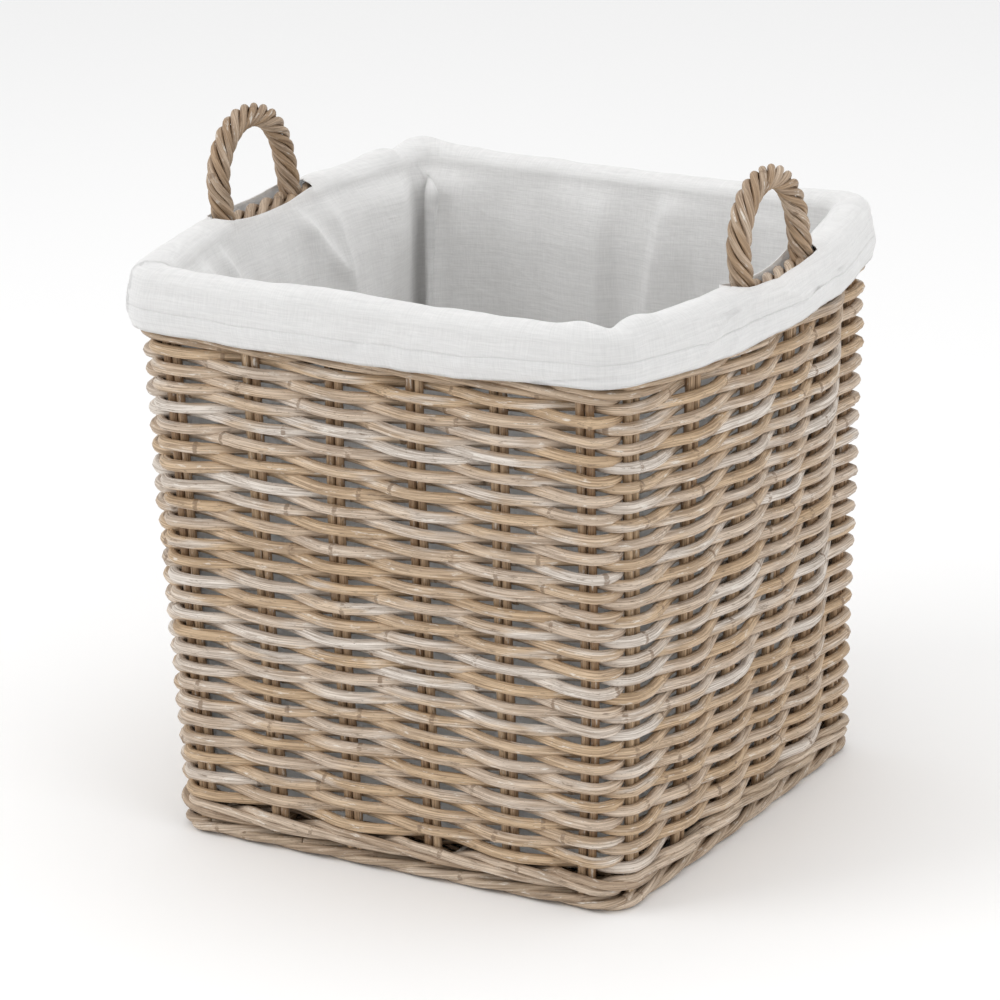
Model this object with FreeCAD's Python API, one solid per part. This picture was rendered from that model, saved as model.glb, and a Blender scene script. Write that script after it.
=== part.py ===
"""Square wicker log basket with two rope handles and a lift-out cloth liner.

Millimetres, +Z up. The origin is the middle of the foot, on the floor. The basket's
four corners make a square, so every side is modelled as the front, which faces -Y,
and turned about Z. The handles stand on the left (-X) and right (+X) sides, which
bow out more than the front and the back.
"""
import FreeCAD, Part
import math
import os

# ---- Basket shell ----
body_height = 503.0        # floor to the top of the rim
rim_corner_half = 238.0    # half width of the square of the corners, at the rim
foot_corner_half = 225.0   # the same at the floor
plain_bulge = 3.0          # how far the front and back bow out at the rim
handle_bulge = 29.0        # the same on the sides with the handles
foot_bulge = 2.0           # how far every side bows out at the floor
wall_thickness = 25.0      # rod in front, stake, rod behind

# ---- Bands of the wall, from the floor up ----
foot_border_height = 14.0
foot_tuck = 6.0            # how far the foot border draws in at the floor
foot_wale_height = 36.0
top_wale_height = 32.0
rim_border_height = 25.0
rim_border_proud = 1.0     # rolled rim stands out of the weave
rim_border_inset = 2.0     # and in over the inner face

# ---- Stakes ----
pairs_per_side = 6
stake_radius = 4.0
stake_rod_gap = 0.6        # between the two rods of a pair
stake_corner_inset = 38.0  # end pair's middle to the corner's flat
stake_end_gap = 0.15       # lowest edge of a stake's end to the border that it meets
bore_clearance = 0.15      # radial, round every rod that runs inside the weave
bore_end_gap = 0.5         # end of a base stick or core rod to the end of its bore

# ---- Base ----
base_thickness = 16.0
base_gap = 0.2             # edge of the woven base to the wall
base_stick_count = 7
base_stick_radius = 4.5
base_stick_edge = 28.0     # outer stick to the inner face of the wall
base_stick_bite = 6.0      # how far a stick's end runs into the foot wale

# ---- Handles ----
leg_gap = 0.6              # handle's leg, inside the wall, to the stake beside it
handle_rise = 79.0         # rim to the middle of the rope, at the top
handle_inset = 15.0        # outer face of the side to the rope's middle
rope_radius = 10.5
core_radius = 4.5
core_depth = 80.0          # how far the core's legs run down inside the wall

# ---- Liner ----
cloth = 1.5
liner_corner_radius = 4.5  # inside the liner's corners
liner_wall_gap = 1.0       # cloth to the inner face of the rim
liner_floor_gap = 1.0      # cloth to the woven base
liner_rim_gap = 1.5        # cloth over the top of the rim
cuff_gap = 1.0             # cloth to the outer face of the rim
cuff_height = 49.0         # rim's top down to the cuff's lower edge
hem_height = 20.0
slot_end_gap = 8.5         # handle rope to the end of its slot

# ---- Worked out from the sizes above ----
foot_wale_z = foot_border_height
weave_z = foot_wale_z + foot_wale_height
rim_border_z = body_height - rim_border_height
top_wale_z = rim_border_z - top_wale_height
base_z = foot_wale_z
base_top = base_z + base_thickness
liner_floor_z = base_top + liner_floor_gap
liner_rim_z = body_height + liner_rim_gap
liner_wall_offset = -(wall_thickness + rim_border_inset + liner_wall_gap)
cuff_offset = rim_border_proud + cuff_gap + cloth
corner_radius = liner_corner_radius + cloth - liner_wall_offset
sides = ("front", "right", "back", "left")
handle_sides = ("right", "left")
up_axis = FreeCAD.Vector(0, 0, 1)
parts_folder = "parts"


def at(x, y, z):
    return FreeCAD.Vector(x, y, z)


def corner_half_at(level):
    """Half width where a side meets its corner, at a height."""
    return foot_corner_half + (rim_corner_half - foot_corner_half) * level / body_height


def bulge_at(side, level):
    rim_bulge = handle_bulge if side in handle_sides else plain_bulge
    return foot_bulge + (rim_bulge - foot_bulge) * level / body_height


def half_at(side, level):
    """Basket's middle plane to the middle of a side."""
    return corner_half_at(level) + bulge_at(side, level)


def side_depth(side, x, level, offset):
    """Distance from the basket's middle plane to a side's face, at x along that side."""
    flat = corner_half_at(level) - corner_radius
    if abs(x) > flat:
        radius = corner_radius + offset
        return flat + math.sqrt(max(radius ** 2 - (abs(x) - flat) ** 2, 0.0))
    bulge = bulge_at(side, level)
    bow = (flat ** 2 + bulge ** 2) / (2 * bulge)
    return half_at(side, level) + offset - (bow - math.sqrt(bow ** 2 - x ** 2))


def pair_place(pair, level):
    """Where a pair of stakes stands along its side, from the middle of the side."""
    share = 2 * pair / (pairs_per_side - 1) - 1
    return share * (corner_half_at(level) - stake_corner_inset)


def side_edges(side, level, offset, z):
    """A side's outline, as the front, from mitre to mitre: half corner, side, half corner."""
    flat = corner_half_at(level) - corner_radius
    radius = corner_radius + offset

    def on_corner(sign, degrees):
        turn = math.radians(degrees)
        return at(sign * (flat + radius * math.sin(turn)), -(flat + radius * math.cos(turn)), z)

    middle = at(0, -(half_at(side, level) + offset), z)
    left = Part.Arc(on_corner(-1, 45), on_corner(-1, 22.5), on_corner(-1, 0))
    bowed = Part.Arc(on_corner(-1, 0), middle, on_corner(1, 0))
    right = Part.Arc(on_corner(1, 0), on_corner(1, 22.5), on_corner(1, 45))
    return [left.toShape(), bowed.toShape(), right.toShape()]


def mitred_wire(side, level, outer, inner, z):
    """Closed outline of a wall between two offsets, as the front, mitred at both corners."""
    outside = side_edges(side, level, outer, z)
    inside = side_edges(side, level, inner, z)
    start = Part.makeLine(inside[0].Vertexes[0].Point, outside[0].Vertexes[0].Point)
    end = Part.makeLine(outside[2].Vertexes[-1].Point, inside[2].Vertexes[-1].Point)
    return Part.Wire(Part.__sortEdges__([start] + outside + [end] + inside))


def side_band(side, low, high, outer, thickness, tuck=0.0, upright=False):
    """One side's stretch of wall between two heights, as the front.

    tuck draws its foot in. An upright band keeps the rim's outline all the way down.
    """
    low_level = body_height if upright else low
    high_level = body_height if upright else high
    inner = outer - thickness
    foot = mitred_wire(side, low_level, outer - tuck, inner - tuck, low)
    top = mitred_wire(side, high_level, outer, inner, high)
    return Part.makeLoft([foot, top], True, True)


def plate(low, high, offset):
    """A floor of the basket's own outline, drawn in by the offset."""
    outlines = []
    for z in (low, high):
        edges = []
        for index, side in enumerate(sides):
            for edge in side_edges(side, z, offset, z):
                edge.rotate(at(0, 0, 0), up_axis, 90 * index)
                edges.append(edge)
        outlines.append(Part.Wire(Part.__sortEdges__(edges)))
    return Part.makeLoft(outlines, True, True)


def rod(start, end, radius):
    return Part.makeCylinder(radius, (end - start).Length, start, end - start)


def stretched(start, end, extra):
    """The same line, longer at both ends."""
    along = (end - start).normalize() * extra
    return start - along, end + along


def turned(shape, side):
    """A copy of a shape modelled as the front, on its own side."""
    copy = shape.copy()
    copy.rotate(at(0, 0, 0), up_axis, 90 * sides.index(side))
    return copy


def stake_lines(side):
    """Middle lines of a side's stakes, as the front, from the foot border to the rim border.

    They lean two ways, so a square end reaches past the end of its line.
    """
    aside = rim_corner_half - foot_corner_half
    out = half_at(side, body_height) - half_at(side, 0.0)
    lean = math.hypot(aside, out) / body_height
    low = foot_wale_z + stake_end_gap + stake_radius * lean
    high = rim_border_z - stake_end_gap - stake_radius * lean
    half_pair = stake_radius + stake_rod_gap / 2
    lines = []
    for pair in range(pairs_per_side):
        for sign in (-1, 1):
            ends = []
            for z in (low, high):
                x = pair_place(pair, z) + sign * half_pair
                ends.append(at(x, -side_depth(side, x, z, -wall_thickness / 2), z))
            lines.append(ends)
    return lines


def base_stick_lines():
    """Middle lines of the base sticks, which run from the front wall to the back wall."""
    z = base_z + base_thickness / 2
    reach = corner_half_at(z) - wall_thickness - base_stick_edge
    lines = []
    for stick in range(base_stick_count):
        x = reach * (2 * stick / (base_stick_count - 1) - 1)
        y = side_depth("front", x, z, -wall_thickness) + base_stick_bite
        lines.append([at(x, -y, z), at(x, y, z)])
    return lines


def handle_half_span():
    """Middle of the side to the middle of a handle's leg, just outside the middle pairs."""
    middle_pair = pair_place(pairs_per_side // 2, body_height)
    return middle_pair + stake_rod_gap / 2 + 2 * stake_radius + leg_gap + core_radius


def arch(outer, inner, foot_z):
    """A handle's round bar or tube, as the front: two upright legs and a half circle over them."""
    y = -(half_at("right", body_height) - handle_inset)
    span = handle_half_span()
    arch_z = body_height + handle_rise - span
    section = Part.Face(Part.Wire(Part.makeCircle(outer, at(span, y, arch_z))))
    if inner:
        hole = Part.Face(Part.Wire(Part.makeCircle(inner, at(span, y, arch_z))))
        section = section.cut(hole).Faces[0]
    leg = section.extrude(at(0, 0, foot_z - arch_z))
    bend = section.revolve(at(0, y, arch_z), at(0, -1, 0), 180)
    other_leg = leg.mirror(at(0, y, arch_z), at(1, 0, 0))
    return bend.fuse([leg, other_leg]).removeSplitter()


def save(name, shapes):
    shape = shapes[0] if len(shapes) == 1 else Part.makeCompound(shapes)
    shape.exportStep(os.path.join(parts_folder, name + ".step"))


def weave_and_stakes():
    """The wall of each side with its stakes, and the bores that the rods run in."""
    bore = stake_radius + bore_clearance
    sockets = [rod(*stretched(start, end, bore_end_gap), base_stick_radius + bore_clearance)
               for start, end in base_stick_lines()]
    core_bore = arch(core_radius + bore_clearance, 0.0, body_height - core_depth - bore_end_gap)
    rim_thickness = rim_border_proud + wall_thickness + rim_border_inset
    groups = {"foot_border": [], "foot_wale": [], "top_wale": [], "rim_border": []}
    for side in sides:
        lines = stake_lines(side)
        bores = [rod(*stretched(start, end, foot_wale_height), bore) for start, end in lines]
        foot_border = side_band(side, 0.0, foot_wale_z, 0.0, wall_thickness, tuck=foot_tuck)
        foot_wale = side_band(side, foot_wale_z, weave_z, 0.0, wall_thickness).cut(bores)
        weave = side_band(side, weave_z, top_wale_z, 0.0, wall_thickness).cut(bores)
        top_wale = side_band(side, top_wale_z, rim_border_z, 0.0, wall_thickness).cut(bores)
        rim_border = side_band(side, rim_border_z, body_height, rim_border_proud, rim_thickness)
        if side in handle_sides:
            weave = weave.cut(core_bore)
            top_wale = top_wale.cut(core_bore)
            rim_border = rim_border.cut(core_bore)
            groups["foot_wale"].append(turned(foot_wale, side))
        else:
            groups["foot_wale"].append(turned(foot_wale, side).cut(sockets))
        groups["foot_border"].append(turned(foot_border, side))
        groups["top_wale"].append(turned(top_wale, side))
        groups["rim_border"].append(turned(rim_border, side))
        save("weave_" + side, [turned(weave, side)])
        save("stakes_" + side, [turned(rod(start, end, stake_radius), side) for start, end in lines])
    for name, shapes in groups.items():
        save(name, shapes)


def base():
    sticks = [rod(start, end, base_stick_radius) for start, end in base_stick_lines()]
    bores = [rod(*stretched(start, end, bore_end_gap), base_stick_radius + bore_clearance)
             for start, end in base_stick_lines()]
    mat = plate(base_z, base_top, -(wall_thickness + base_gap))
    save("base_weave", [mat.cut(bores)])
    save("base_sticks", sticks)


def handles():
    core = arch(core_radius, 0.0, body_height - core_depth)
    rope = arch(rope_radius, core_radius + bore_clearance, body_height)
    for side in handle_sides:
        save("handle_core_" + side, [turned(core, side)])
        save("handle_rope_" + side, [turned(rope, side)])


def liner():
    """Cloth bag inside the basket, folded over the rim and down its outer face."""
    wall_z = liner_floor_z + cloth
    save("liner_floor", [plate(liner_floor_z, wall_z, liner_wall_offset)])
    cuff_foot = body_height - cuff_height
    hem_top = cuff_foot + hem_height
    rim_width = cuff_offset - liner_wall_offset + cloth
    slot_half = handle_half_span() + rope_radius + slot_end_gap
    slot_depth = 2 * wall_thickness + handle_bulge
    slot = Part.makeBox(2 * slot_half, slot_depth, 4 * cloth,
                        at(-slot_half, -rim_corner_half - slot_depth + wall_thickness, liner_rim_z - cloth))
    hems = []
    for side in sides:
        wall = side_band(side, wall_z, liner_rim_z, liner_wall_offset, cloth)
        cuff = side_band(side, cuff_foot, liner_rim_z, cuff_offset, cloth, upright=True)
        hem = side_band(side, cuff_foot, hem_top, cuff_offset + cloth, cloth, upright=True)
        rim = side_band(side, liner_rim_z, liner_rim_z + cloth, cuff_offset, rim_width, upright=True)
        strips = rim.cut(slot).Solids if side in handle_sides else [rim]
        save("liner_wall_" + side, [turned(wall, side)])
        save("liner_cuff_" + side, [turned(cuff, side)])
        save("liner_rim_" + side, [turned(strip, side) for strip in strips])
        hems.append(turned(hem, side))
    save("liner_hem", hems)


os.makedirs(parts_folder, exist_ok=True)
weave_and_stakes()
base()
handles()
liner()
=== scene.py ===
"""Square wicker log basket with rope handles and a lift-out cotton liner."""
import bmesh
import bpy
import math
import random
from mathutils import Matrix, Quaternion, Vector, noise


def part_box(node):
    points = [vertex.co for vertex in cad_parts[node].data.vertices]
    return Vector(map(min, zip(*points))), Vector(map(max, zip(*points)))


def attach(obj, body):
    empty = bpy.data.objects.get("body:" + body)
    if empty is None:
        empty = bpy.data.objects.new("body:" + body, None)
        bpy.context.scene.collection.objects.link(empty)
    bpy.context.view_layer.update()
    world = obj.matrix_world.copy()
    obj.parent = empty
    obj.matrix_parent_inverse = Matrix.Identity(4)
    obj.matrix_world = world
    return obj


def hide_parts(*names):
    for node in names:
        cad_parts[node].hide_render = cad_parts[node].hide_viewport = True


bl_info = {
    "name": "Wicker log basket",
    "version": (1, 0, 0),
    "blender": (4, 5, 0),
    "location": "3D View > Sidebar > Basket",
    "description": "Weaves a square log basket round its frame and lines it with cotton",
    "category": "Object",
}

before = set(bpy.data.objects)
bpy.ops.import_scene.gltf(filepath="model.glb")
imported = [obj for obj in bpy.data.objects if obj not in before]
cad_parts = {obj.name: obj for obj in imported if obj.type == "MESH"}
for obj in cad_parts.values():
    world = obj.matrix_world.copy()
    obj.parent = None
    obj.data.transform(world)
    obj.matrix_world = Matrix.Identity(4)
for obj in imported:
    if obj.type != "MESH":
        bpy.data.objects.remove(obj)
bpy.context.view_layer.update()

# ---- What the frame gives, in metres ----
RIM_PROUD = 0.001
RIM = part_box("rim_border")[1]
BODY_HEIGHT = RIM.z
RIM_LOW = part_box("rim_border")[0].z
FOOT_BORDER_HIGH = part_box("foot_border")[1].z
FOOT_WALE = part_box("foot_wale")[1]
WEAVE_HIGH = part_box("weave_front")[1].z
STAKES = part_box("stakes_front")
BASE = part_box("base_weave")
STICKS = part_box("base_sticks")
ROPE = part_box("handle_rope_right")
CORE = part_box("handle_core_right")
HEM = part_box("liner_hem")
LINER_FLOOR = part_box("liner_floor")

SIDES = ("front", "right", "back", "left")
HANDLE_SIDES = ("right", "left")
PAIRS = 6
LAPS = len(SIDES) * PAIRS


# ---- The plan of the basket ----

def settings():
    return bpy.context.scene.log_basket


def corner_half_at(level):
    """Half width of the square of the corners, at a height."""
    size = settings()
    rim = RIM.y - RIM_PROUD - size.plain_bulge
    share = FOOT_WALE.z / BODY_HEIGHT
    bulge = size.foot_bulge + (size.plain_bulge - size.foot_bulge) * share
    foot = (FOOT_WALE.y - bulge - rim * share) / (1 - share)
    return foot + (rim - foot) * level / BODY_HEIGHT


def bulge_at(side, level):
    """How far a side bows out from its corners, at a height."""
    size = settings()
    rim = size.plain_bulge
    if SIDES[side % 4] in HANDLE_SIDES:
        rim += RIM.x - RIM.y
    return size.foot_bulge + (rim - size.foot_bulge) * level / BODY_HEIGHT


def flat_at(level):
    """Half the stretch of a side between its two round corners."""
    return corner_half_at(level) - settings().corner_radius


def wall_place(side, travel, level, offset):
    """A point on one side of the wall and the way out of the wall there.

    travel runs along the wall from the middle of the side, and past the side's end it
    goes round the corner. offset is measured out from the wall's outer face.
    """
    flat = flat_at(level)
    radius = settings().corner_radius
    if abs(travel) > flat:
        past = (abs(travel) - flat) / (radius - settings().wall / 2)
        turn = math.copysign(past, travel)
        out = Vector((math.sin(turn), -math.cos(turn), 0))
        point = Vector((math.copysign(flat, travel), -flat, level)) + out * (radius + offset)
    else:
        bulge = max(bulge_at(side, level), 0.0001)
        bow = (flat ** 2 + bulge ** 2) / (2 * bulge)
        depth = flat + radius + bulge + offset - (bow - math.sqrt(bow ** 2 - travel ** 2))
        lean = math.asin(travel / bow)
        out = Vector((math.sin(lean), -math.cos(lean), 0))
        point = Vector((travel, -depth, level))
    spin = Matrix.Rotation(math.pi / 2 * side, 3, "Z")
    return spin @ point, spin @ out


def side_length(level):
    """Half of one side with half a corner, along the middle of the wall."""
    radius = settings().corner_radius - settings().wall / 2
    return flat_at(level) + radius * math.pi / 4


def pair_travel(pair, level):
    """Where a pair of stakes stands along its side."""
    reach = corner_half_at(level) - settings().corner_inset
    return reach * (2 * pair / (PAIRS - 1) - 1)


def pair_lean(lap, level):
    """How far a pair stands aside of its true place, since it was woven by hand."""
    swing = noise.noise(Vector(((lap % LAPS) * 3.7, level * 4, 0.5)))
    return settings().stake_lean * swing


def lap_place(lap, level, offset):
    """A point of the wall at a place counted in pairs of stakes round the basket."""
    whole = math.floor(lap)
    part = lap - whole
    side, pair = divmod(whole % LAPS, PAIRS)
    here = pair_travel(pair, level) + pair_lean(whole, level)
    following = pair_lean(whole + 1, level)
    if pair < PAIRS - 1:
        travel = here + (pair_travel(pair + 1, level) + following - here) * part
    else:
        end = side_length(level)
        total = 2 * end - here + pair_travel(0, level) + following
        travel = here + total * part
        if travel > end:
            travel -= 2 * end
            side += 1
    return wall_place(side, travel, level, offset)


def lap_spacing(lap, level):
    """Distance along the wall from the pair at or before this place to the next."""
    pair = math.floor(lap) % PAIRS
    if pair < PAIRS - 1:
        return pair_travel(pair + 1, level) - pair_travel(pair, level)
    return 2 * (side_length(level) - pair_travel(PAIRS - 1, level))


# ---- Rods ----

KNOT_WIDTH = 0.0022
# Rings of a tube beside a knot, by their distance from its middle.
KNOT_RINGS = (-0.0045, -0.002, 0.0, 0.002, 0.0045)
KNOT_SWELL = 0.13


class Rod:
    """One rod of rattan: its route, and what makes it unlike its neighbours."""

    def __init__(self, dice, radius, sides=8):
        size = settings()
        self.radius = radius * (1 + size.rod_unevenness * dice.uniform(-1, 1))
        self.sides = sides
        self.tone = dice.random()
        self.start = dice.uniform(0, 40)
        self.knot_first = dice.uniform(0.02, size.knot_spacing)
        self.knot_gaps = [size.knot_spacing * dice.uniform(0.6, 1.4) for knot in range(24)]

    def knots(self, length):
        """Distances along the rod at which its joints sit."""
        places = [self.knot_first]
        for gap in self.knot_gaps:
            places.append(places[-1] + gap)
        return [place for place in places if place < length]

    def thickness(self, travel, knots):
        """Radius at a distance along the rod, and how near that is to a knot."""
        wave = noise.noise(Vector((travel * 9, self.start, 2.5)))
        near = max((math.exp(-((travel - knot) / KNOT_WIDTH) ** 2) for knot in knots), default=0.0)
        return self.radius * (1 + 0.05 * wave) * (1 + KNOT_SWELL * near), near


def measured(points):
    """Distance along a line of points, at each point."""
    travel = [0.0]
    for first, second in zip(points, points[1:]):
        travel.append(travel[-1] + (second - first).length)
    return travel


def with_knots(rod, marks, route):
    """The marks along a route, with more of them round each knot."""
    travel = measured([route(mark)[0] for mark in marks])
    extra = []
    step = 0
    for knot in rod.knots(travel[-1]):
        for ring in KNOT_RINGS:
            goal = knot + ring
            while step < len(travel) - 2 and travel[step + 1] < goal:
                step += 1
            if travel[step] < goal < travel[step + 1]:
                share = (goal - travel[step]) / (travel[step + 1] - travel[step])
                extra.append(marks[step] + (marks[step + 1] - marks[step]) * share)
        step = max(step - 2, 0)
    return sorted(marks + extra)


def tube(rod, marks, route):
    """A closed tube along a route, from a flat sheet of faces that is rolled up.

    route gives a point and the way that the rod's back faces there. The tube keeps
    the straight rod's own coordinates, so that its grain bends with it.
    """
    marks = with_knots(rod, marks, route)
    stations = [route(mark) for mark in marks]
    points = [station[0] for station in stations]
    travel = measured(points)
    knots = rod.knots(travel[-1])
    last = len(points) - 1
    mesh = bmesh.new()
    tone = mesh.verts.layers.float.new("tone")
    knot = mesh.verts.layers.float.new("knot")
    grain = mesh.verts.layers.float_vector.new("grain")
    bmesh.ops.create_grid(mesh, x_segments=rod.sides, y_segments=last, size=1)
    frames = []
    for index, point in enumerate(points):
        ahead = (points[min(index + 1, last)] - points[max(index - 1, 0)]).normalized()
        back = stations[index][1]
        back = (back - ahead * back.dot(ahead)).normalized()
        frames.append((back, ahead.cross(back)))
    for vertex in mesh.verts:
        column = round((vertex.co.x + 1) / 2 * rod.sides) % rod.sides
        row = round((vertex.co.y + 1) / 2 * last)
        radius, near = rod.thickness(travel[row], knots)
        turn = 2 * math.pi * column / rod.sides
        back, aside = frames[row]
        vertex[grain] = (math.cos(turn) * radius, math.sin(turn) * radius, travel[row] + rod.start)
        vertex[tone] = rod.tone
        vertex[knot] = near
        vertex.co = points[row] + (back * math.cos(turn) + aside * math.sin(turn)) * radius
    bmesh.ops.remove_doubles(mesh, verts=mesh.verts, dist=1e-6)
    for face in mesh.faces:
        face.smooth = True
    ends = [edge for edge in mesh.edges if edge.is_boundary]
    bmesh.ops.holes_fill(mesh, edges=ends, sides=rod.sides)
    bmesh.ops.recalc_face_normals(mesh, faces=mesh.faces)
    return mesh


class Pile:
    """Rods gathered into the mesh of one piece."""

    def __init__(self):
        self.mesh = bmesh.new()
        self.mesh.verts.layers.float.new("tone")
        self.mesh.verts.layers.float.new("knot")
        self.mesh.verts.layers.float_vector.new("grain")
        self.carrier = bpy.data.meshes.new("carrier")

    def add(self, rod, marks, route):
        one = tube(rod, marks, route)
        one.to_mesh(self.carrier)
        one.free()
        self.mesh.from_mesh(self.carrier)

    def finish(self, name, material):
        """The piece itself, in the scene."""
        bpy.data.meshes.remove(self.carrier)
        return made(name, self.mesh, material)


def made(name, mesh, material):
    """A piece from a bmesh, at the origin, with its material."""
    data = bpy.data.meshes.new(name)
    mesh.to_mesh(data)
    mesh.free()
    data.materials.append(material)
    piece = bpy.data.objects.new(name, data)
    bpy.context.scene.collection.objects.link(piece)
    return piece


def place_piece(piece, body, slot, *nodes):
    """Ties a piece to its body and hides the frame's nodes that it stands for. slot, the piece's finish,
    is not used.
    """
    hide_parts(*nodes)
    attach(piece, body)


def spread(first, last, step):
    """Evenly spaced marks from first to last, about a step apart."""
    count = max(int(round((last - first) / step)), 2)
    return [first + (last - first) * index / count for index in range(count + 1)]


def cut_round(start, draw, shortest):
    """Where each rod of one round of the basket starts and ends, in pairs of stakes.

    draw gives the length of the next rod. A rest below the shortest rod is added to it.
    """
    end = start + LAPS
    while start < end - 0.1:
        stop = min(start + draw(), end)
        if end - stop < shortest:
            stop = end
        yield start, stop
        start = stop


def marks_between(start, stop, gap):
    """Marks for a rod from start to stop, with a little gap before the next rod."""
    return spread(start + gap, stop - gap, settings().weaver_step)


# ---- The woven sides ----

# Share of a rod's way from one pair of stakes to the next in which it bends.
BEND = 0.2
# How far a weaver is pressed into the stakes that it passes.
PRESS = 0.0012
# Rings over which the rows' rise and fall fades out next to a wale.
FADE_RINGS = 5
# Lengths of the weavers and of the wales' rods, in pairs of stakes, and the shortest.
WEAVER_LENGTHS = (10, 12, 14, 16)
SHORT_WEAVER = 4
WALE_LENGTHS = (9, 12, 15)
SHORT_WALE = 5
# Share of the gap after a pair at which weavers and wales start, behind the next pair.
WEAVER_START = 0.14
WALE_START = 0.15
ROD_GAP = 0.01
BORDER_GAP = 0.008


def eased(part):
    """Half a wave from 0 to 1."""
    return 0.5 - 0.5 * math.cos(math.pi * min(max(part, 0), 1))


def passing(part, hold):
    """How far a rod has crossed between two pairs.

    It is held straight beside each pair, bends over a short stretch, and runs straight
    between the bends.
    """
    place = min(max((part - hold) / (1 - 2 * hold), 0), 1)
    if place < BEND:
        return place ** 2 / (2 * BEND * (1 - BEND))
    if place > 1 - BEND:
        return 1 - (1 - place) ** 2 / (2 * BEND * (1 - BEND))
    return (place - BEND / 2) / (1 - BEND)


def held(lap, level):
    """Share of the stretch between two pairs that a rod keeps straight beside each."""
    return min(settings().hold / lap_spacing(lap, level), 0.3)


def strayed(point, out, rod, mark):
    """The point moved a little, as a rod strays from its true route."""
    wobble = settings().rod_wobble
    shift = 31.7 * rod.start
    rise = wobble * noise.noise(Vector((mark * 1.3, shift, 0.3)))
    aside = wobble * noise.noise(Vector((mark * 1.1, shift, 7.3)))
    return point + Vector((0, 0, rise)) + out * aside


def row_drift(lap, level):
    """Slow rise and fall of the rows round the basket."""
    angle = 2 * math.pi * lap / LAPS
    place = Vector((2.2 * math.cos(angle), 2.2 * math.sin(angle), level * 6))
    return settings().row_drift * noise.noise(place)


def weaver_route(ring, rod, level, edge):
    """Route of one weaver in its ring, by its place in pairs round the basket.

    It passes in front of every second pair and behind the others. edge is 0 for a ring
    next to a wale and 1 away from them, where the rings may rise and fall.
    """
    size = settings()
    swing = size.stake_radius + size.weaver_radius - PRESS

    def route(mark):
        whole = math.floor(mark)
        part = mark - whole
        side = 1 if (whole + ring) % 2 == 0 else -1
        height = level + row_drift(mark, level) * edge
        crossed = passing(part, held(whole, level))
        # The rod droops a little on its way out, so that it lies over its neighbour.
        height -= size.weaver_droop * side * math.sin(math.pi * part)
        point, facing = lap_place(mark, height, swing * side * (1 - 2 * crossed) - size.wall / 2)
        return strayed(point, facing, rod, mark), facing

    return route


def weave_sides():
    """The weavers, in four groups by the side that each one starts on."""
    size = settings()
    dice = random.Random(11)
    material = rattan_material("weathered_rattan", size.weaver_colour, size.weaver_pale,
                               size.weaver_brown)
    piles = [Pile() for side in SIDES]
    top = WEAVE_HIGH - size.weaver_radius - 0.0015
    last = 2 * size.rows
    for ring in range(last + 1):
        level = top + (size.lowest_row - top) * ring / last
        edge = min(min(ring, last - ring) / FADE_RINGS, 1)
        first = 2 * dice.randrange(LAPS // 2) + ring % 2 + WEAVER_START - 1
        for start, stop in cut_round(first, lambda: dice.choice(WEAVER_LENGTHS), SHORT_WEAVER):
            rod = Rod(dice, size.weaver_radius)
            pile = piles[math.floor(start % LAPS) // PAIRS]
            pile.add(rod, marks_between(start, stop, ROD_GAP), weaver_route(ring, rod, level, edge))
    for name, pile in zip(SIDES, piles):
        place_piece(pile.finish("weavers_" + name, material), "basket", "weave", "weave_" + name)


def set_stakes():
    """The pairs of upright rods."""
    size = settings()
    dice = random.Random(5)
    material = rattan_material("brown_rattan", size.stake_colour, size.weaver_brown, size.stake_brown)
    apart = size.stake_radius + size.stake_gap / 2

    def stake_route(side, pair, sign):
        def route(level):
            travel = pair_travel(pair, level) + pair_lean(side * PAIRS + pair, level) + sign * apart
            return wall_place(side, travel, level, -size.wall / 2)
        return route

    for side, name in enumerate(SIDES):
        pile = Pile()
        for pair in range(PAIRS):
            for sign in (-1, 1):
                rod = Rod(dice, size.stake_radius)
                levels = spread(STAKES[0].z, STAKES[1].z, 0.02)
                pile.add(rod, levels, stake_route(side, pair, sign))
        stakes = pile.finish("stakes_pair_" + name, material)
        place_piece(stakes, "basket", "stakes", "stakes_" + name)


# ---- Wales and borders ----

# How far two rods of a wale are pressed together, and how low the rod behind runs, as
# a share of the rise between the two in front.
WALE_PRESS = 0.0006
WALE_BACK = 0.55
# Heights of the wales over the foot and under the rim, in radii of their rods.
FOOT_WALE_LIFT = 1.9
TOP_WALE_LIFT = 1.15
TOP_WALE_PITCH = 3.75
# Turns that the rods of the two borders wind on their way round the basket.
FOOT_TURNS = 8
RIM_TURNS = 18


def wale_route(strand, rod, low, swing):
    """One of three rods that pass in front of two pairs and behind one, round the basket."""
    size = settings()
    rise = 2 * size.wale_radius - WALE_PRESS
    heights = (rise, 0.0, -WALE_BACK * rise)
    sides = (1, 1, -1)

    def route(mark):
        whole = math.floor(mark)
        phase = (whole + strand) % 3
        following = (phase + 1) % 3
        part = mark - whole
        crossed = passing(part, held(whole, low))
        early = part if phase == 0 else eased(1.5 * part)
        level = low + heights[phase] + (heights[following] - heights[phase]) * early
        out = swing * (sides[phase] + (sides[following] - sides[phase]) * crossed)
        point, facing = lap_place(mark, level, out - size.wall / 2)
        return strayed(point, facing, rod, mark), facing

    return route


def wale(pile, dice, low):
    """Three rods twined round the basket, with the lower front rod at this height."""
    size = settings()
    swing = size.stake_radius + size.wale_radius
    for strand in range(3):
        first = 3 * dice.randrange(LAPS // 3) - strand + WALE_START - 1
        for start, stop in cut_round(first, lambda: dice.choice(WALE_LENGTHS), SHORT_WALE):
            rod = Rod(dice, size.wale_radius)
            pile.add(rod, marks_between(start, stop, ROD_GAP), wale_route(strand, rod, low, swing))


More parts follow.
